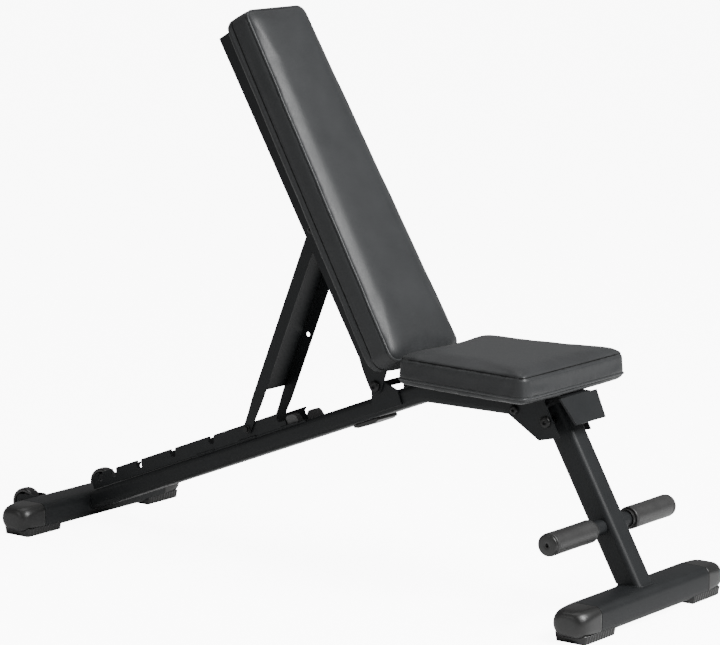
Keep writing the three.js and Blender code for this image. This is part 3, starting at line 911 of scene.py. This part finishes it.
    def build(self) -> None:
        """Makes the cover and its piping."""
        work = self.remeshed()
        work.data.vertices.foreach_set("co", (self.blown(work.data) / METRE).ravel())
        smooth = work.modifiers.new("ease", "SMOOTH")
        smooth.factor, smooth.iterations = 0.5, 3
        fine = work.modifiers.new("fine", "SUBSURF")
        fine.levels = fine.render_levels = 1
        self.apply(work)
        mesh = work.data
        points, paths = self.stitched(rows(mesh.vertices) * METRE, rows(mesh.vertex_normals, "vector"))
        placed = Surface(points).moved(self.matrix).points
        mesh.vertices.foreach_set("co", (placed / METRE).ravel())
        shade_smooth(mesh)
        bpy.data.objects.remove(work)
        cover = install(f"{self.name}_cover", mesh, self.body, UPHOLSTERY, *self.nodes)
        for number, (seam, path) in enumerate(zip(self.seams, paths), 1):
            # Piping takes the lighter finish, a painted highlight; thread takes the near-black one, painted
            # shade in the seam groove.
            finish = PIPING if seam.kind is SeamKind.PIPING else THREAD
            cord = tube(even(path, 480), seam.cord, 12).moved(self.matrix)
            cord.add(f"{self.name}_{seam.kind.value}_{number}", self.body, finish)


# ---- feet
@dataclass
class CrossFoot:
    """The end caps and ribbed rubber pads of a cross foot tube.

    Attributes:
        name: start of its CAD node names.
        body: the body it rides on.
        x: middle of the tube.
        half: half its whole length, caps included.
    """

    name: str
    body: Body
    x: float
    half: float

    DEPTH = 70.0
    HEIGHT = 50.0
    CORNER = 14.0
    LIFT = 8.0
    CAP = 59.0
    NOSE_POWER = 5
    CHAMFER = 1.2
    RIB_PITCH = 8
    PAD_WIDTH = 68
    PAD_UNDER_TUBE = 45
    PAD_SHORT = 14
    PAD_HUG = 7

    def cap(self, side: int) -> Surface:
        """A moulded cap that leaves the tube at full size and closes in a blunt nose.

        Its section shrinks along t as (1 - t^power)^(1/power), after a small chamfer at the tube that leaves
        a fine groove between the two.
        """
        t = np.sin(np.linspace(0, 1, 26) * TAU / 4) * 0.997
        full = (1 - t**self.NOSE_POWER) ** (1 / self.NOSE_POWER)
        start = self.half - self.CAP + 0.4
        y = start + self.CHAMFER + t * (self.half - start - self.CHAMFER)
        full = np.concatenate([[0.955, 0.985], full])
        y = np.concatenate([[start, start + 0.5], y])
        t = np.concatenate([[0, 0], t])
        rings = []
        for share, at, along in zip(full, y, t):
            width, height = self.DEPTH * share, self.HEIGHT * share
            radius = min(self.CORNER + 8 * along, height / 2 * 0.98)
            a, b = rounded_rectangle(width, height, radius).T
            rings.append(ring(self.x + a, side * at, self.LIFT + self.HEIGHT / 2 + b))
        return grid(np.stack(rings))

    def pad(self, side: int) -> Surface:
        """A rubber pad that hugs the tube and cap from below; its width swells as a sine along the foot."""
        inner, outer = self.half - self.CAP - self.PAD_UNDER_TUBE, self.half - self.PAD_SHORT
        y = np.linspace(inner, outer, int((outer - inner) * 1.5))
        rib = 0.5 + 0.5 * np.sin((y - inner) / self.RIB_PITCH * TAU)
        nose = np.clip((y - (self.half - self.CAP)) / self.CAP, 0, 1)
        width = (self.PAD_WIDTH - 2.6 * rib) * (1 - nose**self.NOSE_POWER) ** (1 / self.NOSE_POWER)
        tall = self.LIFT + self.PAD_HUG
        section = rounded_rectangle(1.0, tall, 0.1, 6)
        section[:, 0] = np.clip(section[:, 0] * 1.25, -0.5, 0.5)
        lean = 1 - 0.1 * np.clip(0.5 - section[:, 1] / tall, 0, 1)
        x = self.x + width[:, None] * section[:, 0] * lean
        return grid(ring(x, side * y[:, None], tall / 2 + section[:, 1]))

    def build(self) -> None:
        """Adds both caps and both pads."""
        for where, side in SIDES.items():
            for part, surface in (("cap", self.cap(side)), ("pad", self.pad(side))):
                node = f"{self.name}_{part}_{where}"
                surface.add(f"{node}_moulded", self.body, RUBBER, node)


# ---- wheels
@dataclass
class Wheel:
    """A solid transport wheel: tyre, hub and curved spokes over a thin web.

    Attributes:
        where: near or far.
    """

    where: str

    X = -674.0
    Y = 113.0
    Z = 35.5
    RADIUS = 30.0
    WIDTH = 22.0
    BORE = 5.3
    SPOKES = 6
    TREAD = 4.4
    HUB_END = 8.6
    SPOKE_START = 9.2
    SPOKE_GAP = 8.4

    def tyre(self) -> Surface:
        """A ring section with a flat tread, rounded shoulders and a hollow inner face."""
        half, r = self.WIDTH / 2, self.RADIUS
        t = np.linspace(0, TAU, 40, endpoint=False)
        section_r = r - self.TREAD + self.TREAD * np.sign(np.cos(t)) * np.abs(np.cos(t)) ** 0.45
        section_y = half * np.sign(np.sin(t)) * np.abs(np.sin(t)) ** 0.6
        return lathe(np.stack([section_r, section_y], -1), (0, 0, 0), True, 96)

    def hub(self) -> Surface:
        """A round hub that narrows to its ends, open at the bore."""
        half, bore, end = self.WIDTH / 2, self.BORE, self.HUB_END
        profile = [
            (bore, -half), (end, -half), (end + 1.2, -half + 1), (end + 1.8, 0),
            (end + 1.2, half - 1), (end, half), (bore, half),
        ]
        return lathe(profile, (0, 0, 0), True)

    def spoke(self, angle: float) -> Surface:
        """A bar from hub to tyre, 6 mm wide and 13 mm deep at its ends and slimmer between."""
        run = np.linspace(0, 1, 9)
        radial = self.SPOKE_START + run * (self.RADIUS - self.SPOKE_GAP - self.SPOKE_START)
        slim = 1 - 0.32 * np.sin(run * math.pi)
        section = rounded_rectangle(6.0, 13.0, 1.6, 4)
        across = section[None, :, 0] * slim[:, None]
        y = section[None, :, 1] * (1 - 0.12 * np.sin(run * math.pi))[:, None]
        x = radial[:, None] * math.cos(angle) - across * math.sin(angle)
        z = radial[:, None] * math.sin(angle) + across * math.cos(angle)
        return grid(ring(x, y, z))

    def web(self) -> Surface:
        """A thin disc behind the spokes."""
        return lathe([(9.0, -1.5), (23.0, -1.5), (23.0, 1.5), (9.0, 1.5)], (0, 0, 0), True)

    def build(self) -> None:
        """Adds the wheel."""
        spokes = [self.spoke(k * TAU / self.SPOKES + 0.3) for k in range(self.SPOKES)]
        shape = self.tyre().joined(self.hub(), self.web(), *spokes)
        place = np.eye(4)
        place[:3, 3] = (self.X, SIDES[self.where] * self.Y, self.Z)
        node = f"wheel_{self.where}"
        shape.moved(place).add(f"{node}_spoked", Body(node), GLOSS_PLASTIC, node)


# ---- rollers
@dataclass
class LegRoller:
    """A foam leg roller with its plastic end cap.

    Attributes:
        where: near or far.
    """

    where: str

    ALONG = 204.0
    RADIUS = 20.5
    INNER = 62.0
    END = 192.0
    BAR = 9.0
    BAR_GAP = 1.3
    CAP_LENGTH = 5.7
    SOFT_EDGE = 2.2

    def foam(self, side: int) -> Surface:
        """A sleeve round the bar with soft rounded ends and a slight waist at the middle."""
        bore, radius, soft = self.BAR + self.BAR_GAP, self.RADIUS, self.SOFT_EDGE
        y0, y1 = self.INNER, self.END - 6
        bend = np.linspace(0, TAU / 4, 9)
        middle = np.linspace(y0 + soft, y1 - soft, 24)
        waist = 0.35 * np.sin((middle - y0 - soft) / (y1 - y0 - 2 * soft) * math.pi)
        first = np.stack([radius - soft + soft * np.sin(bend), y0 + soft - soft * np.cos(bend)], -1)
        last = np.stack([radius - soft + soft * np.cos(bend), y1 - soft + soft * np.sin(bend)], -1)
        between = np.stack([radius - waist, middle], -1)
        profile = np.concatenate([[(bore, y0)], first, between, last, [(bore, y1)]])
        return lathe(profile * (1, side), (self.ALONG, 0, 0), True, 72)

    def cap(self, side: int) -> Surface:
        """A domed end cap with a small round hollow at its middle."""
        y0, y1 = self.END - self.CAP_LENGTH, self.END
        profile = [
            (0.05, y0 - 1), (18.4, y0 - 1), (19.4, y0), (19.6, y1 - 2.4), (18.8, y1 - 0.9), (17.0, y1 - 0.3),
            (9.0, y1), (4.2, y1), (3.4, y1 - 0.5), (3.2, y0), (0.05, y0),
        ]
        return lathe(np.array(profile) * (1, side), (self.ALONG, 0, 0), False)

    def build(self) -> None:
        """Adds the foam and the cap."""
        side, name = SIDES[self.where], f"roller_{self.where}"
        self.foam(side).moved(LEG_FRAME).add(f"{name}_foam", Body(name), FOAM, f"foam_{name}")
        self.cap(side).moved(LEG_FRAME).add(f"{name}_end", Body(name), RUBBER, f"roller_cap_{self.where}")


# ---- welds
@dataclass
class Welds:
    """Weld beads and saddles where the tubes and plates meet."""

    SADDLE_RUN = 22
    LEG_DIP = 15
    FILLET_ENDS = (-485.0, -190.0)
    FILLET_AT = (41.5, -18.9)
    BEAD_STARTS = (-470.0, -360.0, -250.0)
    BEAD_LENGTH = 44
    BEAD_AT = (44.2, -17.4)

    def spine_saddle(self) -> Surface:
        """The spine's end, drawn in and down over the rear foot tube on an eased curve."""
        low = box_of("spine_tube")[0]
        tall = SPINE["height"] / math.cos(SPINE_SLOPE)
        run = np.linspace(0, 1, 12)
        rings = []
        for step, bend in zip(run, run * run * (3 - 2 * run)):
            a, b = rounded_rectangle(SPINE["width"] - 14 * bend, tall * (1 - 0.3 * bend), SPINE["corner"]).T
            rings.append(ring(low[0] + 1.5 - self.SADDLE_RUN * step, a, low[2] + tall / 2 - 4.5 * bend + b))
        return grid(np.stack(rings))

    @staticmethod
    def leg_section(smaller: float, corner: float) -> np.ndarray:
        """The level cut through the leg at the top of its foot tube, as (x, y), drawn in by `smaller`."""
        middle = LEG_PIVOT[0] + (LEG_PIVOT[1] - FOOT_TOP) / math.tan(LEG_ANGLE)
        long = LEG["height"] / math.sin(LEG_ANGLE)
        return rounded_rectangle(long - smaller, LEG["width"] - smaller, corner) + (middle, 0)

    def leg_saddle(self) -> Surface:
        """The leg's lower end, carried down onto the rounded rear edge of the front foot tube."""
        x, y = self.leg_section(3, 10).T
        drop = np.linspace(0, 1, 8)[:, None] * self.LEG_DIP
        return grid(ring(x + drop / math.tan(LEG_ANGLE), y, FOOT_TOP + 1 - drop))

    def leg_bead(self) -> Surface:
        """A bead round the leg, which follows the foot tube's rounded corner down."""
        section = self.leg_section(0, LEG["corner"])
        past = np.clip(648 - section[:, 0], 0, 13.5)
        z = FOOT_TOP - (CrossFoot.CORNER - np.sqrt(CrossFoot.CORNER**2 - past**2))
        return weld_bead(np.column_stack([section, z]), 2.2)

    def ladder_welds(self, side: int) -> Surface:
        """A fillet under the front part of a ladder plate, and three ripple beads along its outer foot."""
        y, z = self.FILLET_AT
        shape = tube(even(ring(self.FILLET_ENDS, side * y, z), 60, loop=False), 2.5, loop=False)
        y, z = self.BEAD_AT
        for start in self.BEAD_STARTS:
            line = even(ring((start, start + self.BEAD_LENGTH), side * y, z), 40, loop=False)
            shape = shape.joined(weld_bead(line, 1.9, loop=False))
        return shape.moved(LADDER_FRAME)

    def build(self) -> None:
        """Adds every weld."""
        self.spine_saddle().add("weld_spine_saddle", Body.FRAME, POWDER_COAT)
        self.leg_saddle().add("weld_leg_saddle", Body.LEG, POWDER_COAT)
        self.leg_bead().add("weld_leg_bead", Body.LEG, POWDER_COAT)
        for where, side in SIDES.items():
            self.ladder_welds(side).add(f"weld_ladder_{where}", Body.FRAME, POWDER_COAT)


# ---- main tubes
@dataclass
class MainTube:
    """A rolled rectangular tube with generous corners, hollow from end to end.

    Attributes:
        node: the CAD node it replaces.
        body: the body it rides on.
        width, height: outer section.
        corner: radius of its corners.
        stations: origin, and upward direction of the section, at each bend; all on the middle plane.
        matrix: the frame the stations are given in.
    """

    node: str
    body: Body
    width: float
    height: float
    corner: float
    stations: list[Station]
    matrix: np.ndarray = field(default_factory=lambda: np.eye(4))

    WALL = 2.5

    def surface(self) -> Surface:
        """Outer rings one way and inner rings back, each point = origin + a across + b upward."""
        walls = []
        for inset in (0, self.WALL):
            size = self.width - 2 * inset, self.height - 2 * inset, self.corner - inset
            a, b = rounded_rectangle(*size, steps=10).T
            walls.append([ring(x + b * up_x, a, z + b * up_z) for (x, z), (up_x, up_z) in self.stations])
        return grid(np.stack(walls[0] + walls[1][::-1]), loop=True).moved(self.matrix)

    def build(self) -> None:
        """Adds the tube."""
        piece = self.surface().add(f"{self.node}_rolled", self.body, POWDER_COAT, self.node)
        break_edges(piece, 0.6, 50)


def spine_stations() -> list[Station]:
    """The spine from the rear foot up its slope, round an arc and level to its mitred front end."""
    under, bend_x, bend_radius, front = 333.0, 232.0, 90.0, 454.0
    rise = SPINE["height"] / 2
    rear = box_of("spine_tube")[0][0]
    cosine, tangent = math.cos(SPINE_SLOPE), math.tan(SPINE_SLOPE)
    stations = [((rear, under - (bend_x - rear) * tangent + rise / cosine), (0.0, 1 / cosine))]
    reach = bend_radius * math.tan(SPINE_SLOPE / 2)
    centre = (bend_x - rise * math.tan(SPINE_SLOPE / 2) + reach, under + rise - bend_radius)
    for share in np.linspace(1, 0, 13):
        up = (-math.sin(SPINE_SLOPE * share), math.cos(SPINE_SLOPE * share))
        stations.append(((centre[0] + bend_radius * up[0], centre[1] + bend_radius * up[1]), up))
    stations.append(((front, under + rise), (1.0, 1.0)))
    return stations


def leg_stations() -> list[Station]:
    """The leg in its own frame, from above its pivot to its level lower end."""
    reach = (LEG_PIVOT[1] - FOOT_TOP - CAD_GAP) / math.sin(LEG_ANGLE)
    return [((-24.0, 0.0), (0.0, 1.0)), ((reach, 0.0), (1 / math.tan(LEG_ANGLE), 1.0))]


# ---- steel and small parts
@dataclass
class Carcass:
    """Every CAD part whose shape is carried over, with its edges broken and a finish."""

    def parts(self) -> list[SoftenedSteel]:
        """The carried-over parts, sub-assembly by sub-assembly."""
        both = lambda stem: [f"{stem}_{where}" for where in SIDES]
        frame_steel = ["rear_foot_tube", "seat_mount_rear", "seat_mount_front", "front_plate"]
        frame_steel += both("wheel_bracket") + both("ladder_plate") + both("hinge_ear") + both("cheek_plate")
        leg_steel = ["front_foot_tube", "roller_bar", *both("roller_collar")]
        screws = [f"pad_screw_{k}_{where}" for k in (1, 2, 3) for where in SIDES]
        groups = [
            (frame_steel, Body.FRAME, POWDER_COAT, 0.7),
            (leg_steel, Body.LEG, POWDER_COAT, 0.7),
            (["back_frame"], Body.BACK, POWDER_COAT, 0.9),
            (["strut_channel"], Body.STRUT, POWDER_COAT, 0.9),
            (both("foot_pin"), Body.STRUT, FASTENER, 0.3),
            (screws, Body.BACK, FASTENER, 0.3),
            (both("ladder_bumper"), Body.FRAME, GREY_RUBBER, 1.2),
            (["folded_leg_rest"], Body.FRAME, RUBBER, 1.2),
            (both("roller_washer"), Body.LEG, RUBBER, 0.5),
        ]
        return [SoftenedSteel(node, *settings) for nodes, *settings in groups for node in nodes]

    def bolts(self) -> list[Bolt]:
        """The bolts along Y."""
        bolts = [
            Bolt("hinge_bolt", Body.FRAME, 6, 10.5, 6),
            Bolt("leg_pivot_bolt", Body.FRAME, 6, 10.5, 6),
            Bolt("strut_pivot_bolt", Body.BACK, 4, 9.5, 5),
        ]
        for where, side in SIDES.items():
            bolts.append(Bolt(f"wheel_axle_{where}", Body.FRAME, 4.8, 8, 4))
            bolts.append(Bolt(f"cheek_bolt_{where}", Body.FRAME, 5, 8.5, 5.6, side))
        return bolts

    def build(self) -> None:
        """Adds them all."""
        for part in [*self.parts(), *self.bolts()]:
            part.build()
        LockNut("hinge_nut", Body.FRAME, 6.3).build()
        LockNut("strut_pivot_nut", Body.BACK, 4.4).build()


# ---- the bench
def cushion_frame(matrix: np.ndarray) -> np.ndarray:
    """A frame turned half round its X, so that Z points out of the pad and Y across."""
    return matrix @ np.diag([1.0, -1.0, -1.0, 1.0])


@dataclass
class Bench:
    """The whole bench."""

    def cushions(self) -> list[Cushion]:
        """The seat and the back pad."""
        seat = Cushion(
            "seat", ("seat_pad", "seat_board"), Body.FRAME, np.eye(4),
            low=236, high=536, low_half=138, high_half=165, corner=15,
            base=379.9, shoulder=429, crown=441,
            seams=[SeamLine(391.5, 1.2, 2.0, SeamKind.PIPING), SeamLine(427.0, 2.6, 0.8, SeamKind.THREAD)],
        )
        back = Cushion(
            "back", ("back_pad", "back_board"), Body.BACK, cushion_frame(BACK_FRAME),
            low=8, high=722, low_half=110, high_half=92, corner=26,
            base=37.2, shoulder=95, crown=106,
            seams=[SeamLine(54, 2.4, 0.8, SeamKind.THREAD), SeamLine(93.5, 1.3, 1.9, SeamKind.PIPING)],
        )
        return [seat, back]

    def build(self) -> None:
        """Builds every sub-assembly."""
        Carcass().build()
        MainTube("spine_tube", Body.FRAME, **SPINE, stations=spine_stations()).build()
        MainTube("leg_tube", Body.LEG, **LEG, stations=leg_stations(), matrix=LEG_FRAME).build()
        Welds().build()
        CrossFoot("rear_foot", Body.FRAME, -603, 233).build()
        CrossFoot("front_foot", Body.LEG, 669, 231).build()
        for where in SIDES:
            Wheel(where).build()
            LegRoller(where).build()
        for cushion in self.cushions():
            cushion.build()


# ---- studio
@dataclass
class SoftBox:
    """A square area light that looks at the bench.

    Attributes:
        name: its name.
        place: where it stands, in metres.
        size: its side, in metres.
        power: its power, in watts.
    """

    name: str
    place: tuple[float, float, float]
    size: float
    power: float

    def build(self) -> None:
        """Adds the light."""
        light = bpy.data.lights.new(self.name, "AREA")
        light.size, light.energy = self.size, self.power
        lamp = linked(self.name, light)
        lamp.location = self.place
        lamp.rotation_euler = (Vector((0, 0, 0.45)) - lamp.location).to_track_quat("-Z", "Y").to_euler()


@dataclass
class Studio:
    """Camera, floor and lights."""

    azimuth: float = 37.344
    elevation: float = 9.855
    target: tuple[float, float, float] = (0.054, 0.00556, 0.45277)
    distance: float = 5.9144
    lens: float = 161.76

    def camera(self) -> None:
        """The camera, level and aimed at the target."""
        turn, tilt = math.radians(self.azimuth), math.radians(self.elevation)
        back = Vector((math.sin(turn) * math.cos(tilt), -math.cos(turn) * math.cos(tilt), math.sin(tilt)))
        right = Vector((math.cos(turn), math.sin(turn), 0))
        data = bpy.data.cameras.new("camera")
        data.lens, data.sensor_width = self.lens, 36
        camera = linked("camera", data)
        turned = Matrix((right, back.cross(right), back)).transposed().to_4x4()
        camera.matrix_world = Matrix.Translation(Vector(self.target) + back * self.distance) @ turned
        bpy.context.scene.camera = camera

    def floor(self) -> None:
        """A pale floor far larger than the view."""
        mesh = bpy.data.meshes.new("floor")
        half = 30.0
        corners = [(x * half, y * half, 0) for x, y in ((-1, -1), (1, -1), (1, 1), (-1, 1))]
        mesh.from_pydata(corners, [], [(0, 1, 2, 3)])
        floor = linked("floor", mesh)
        graph = Graph("floor_paint")
        seen = graph.node("ShaderNodeLightPath", {}, {}, out="Is Camera Ray")
        glow = seen.blend((0.0, 0.0, 0.0), (1.0, 1.0, 1.0))
        graph.set(Base_Color=(0.8, 0.8, 0.8, 1), Roughness=0.8, Emission_Color=glow, Emission_Strength=9.0)
        mesh.materials.append(graph.material)

    def lights(self) -> None:
        """A bright surround with three large soft lights."""
        world = bpy.data.worlds.new("surround")
        world.use_nodes = True
        background = next(n for n in world.node_tree.nodes if n.type == "BACKGROUND")
        background.inputs["Color"].default_value = (1, 1, 1, 1)
        background.inputs["Strength"].default_value = 0.32
        bpy.context.scene.world = world
        for light in (
            SoftBox("key", (3.5, 0.2, 3.5), 2.2, 520),
            SoftBox("fill", (-1.2, -4.2, 2.2), 2.6, 40),
            SoftBox("top", (-0.8, 0.4, 4.2), 2.6, 45),
        ):
            light.build()

    def build(self) -> None:
        """Sets the scene round the bench."""
        self.camera()
        self.floor()
        self.lights()


def main() -> None:
    """Builds the bench and the studio."""
    logging.basicConfig(level=logging.INFO, format="%(message)s")
    Bench().build()
    Studio().build()
    bpy.context.view_layer.update()


if __name__ == "__main__":
    main()
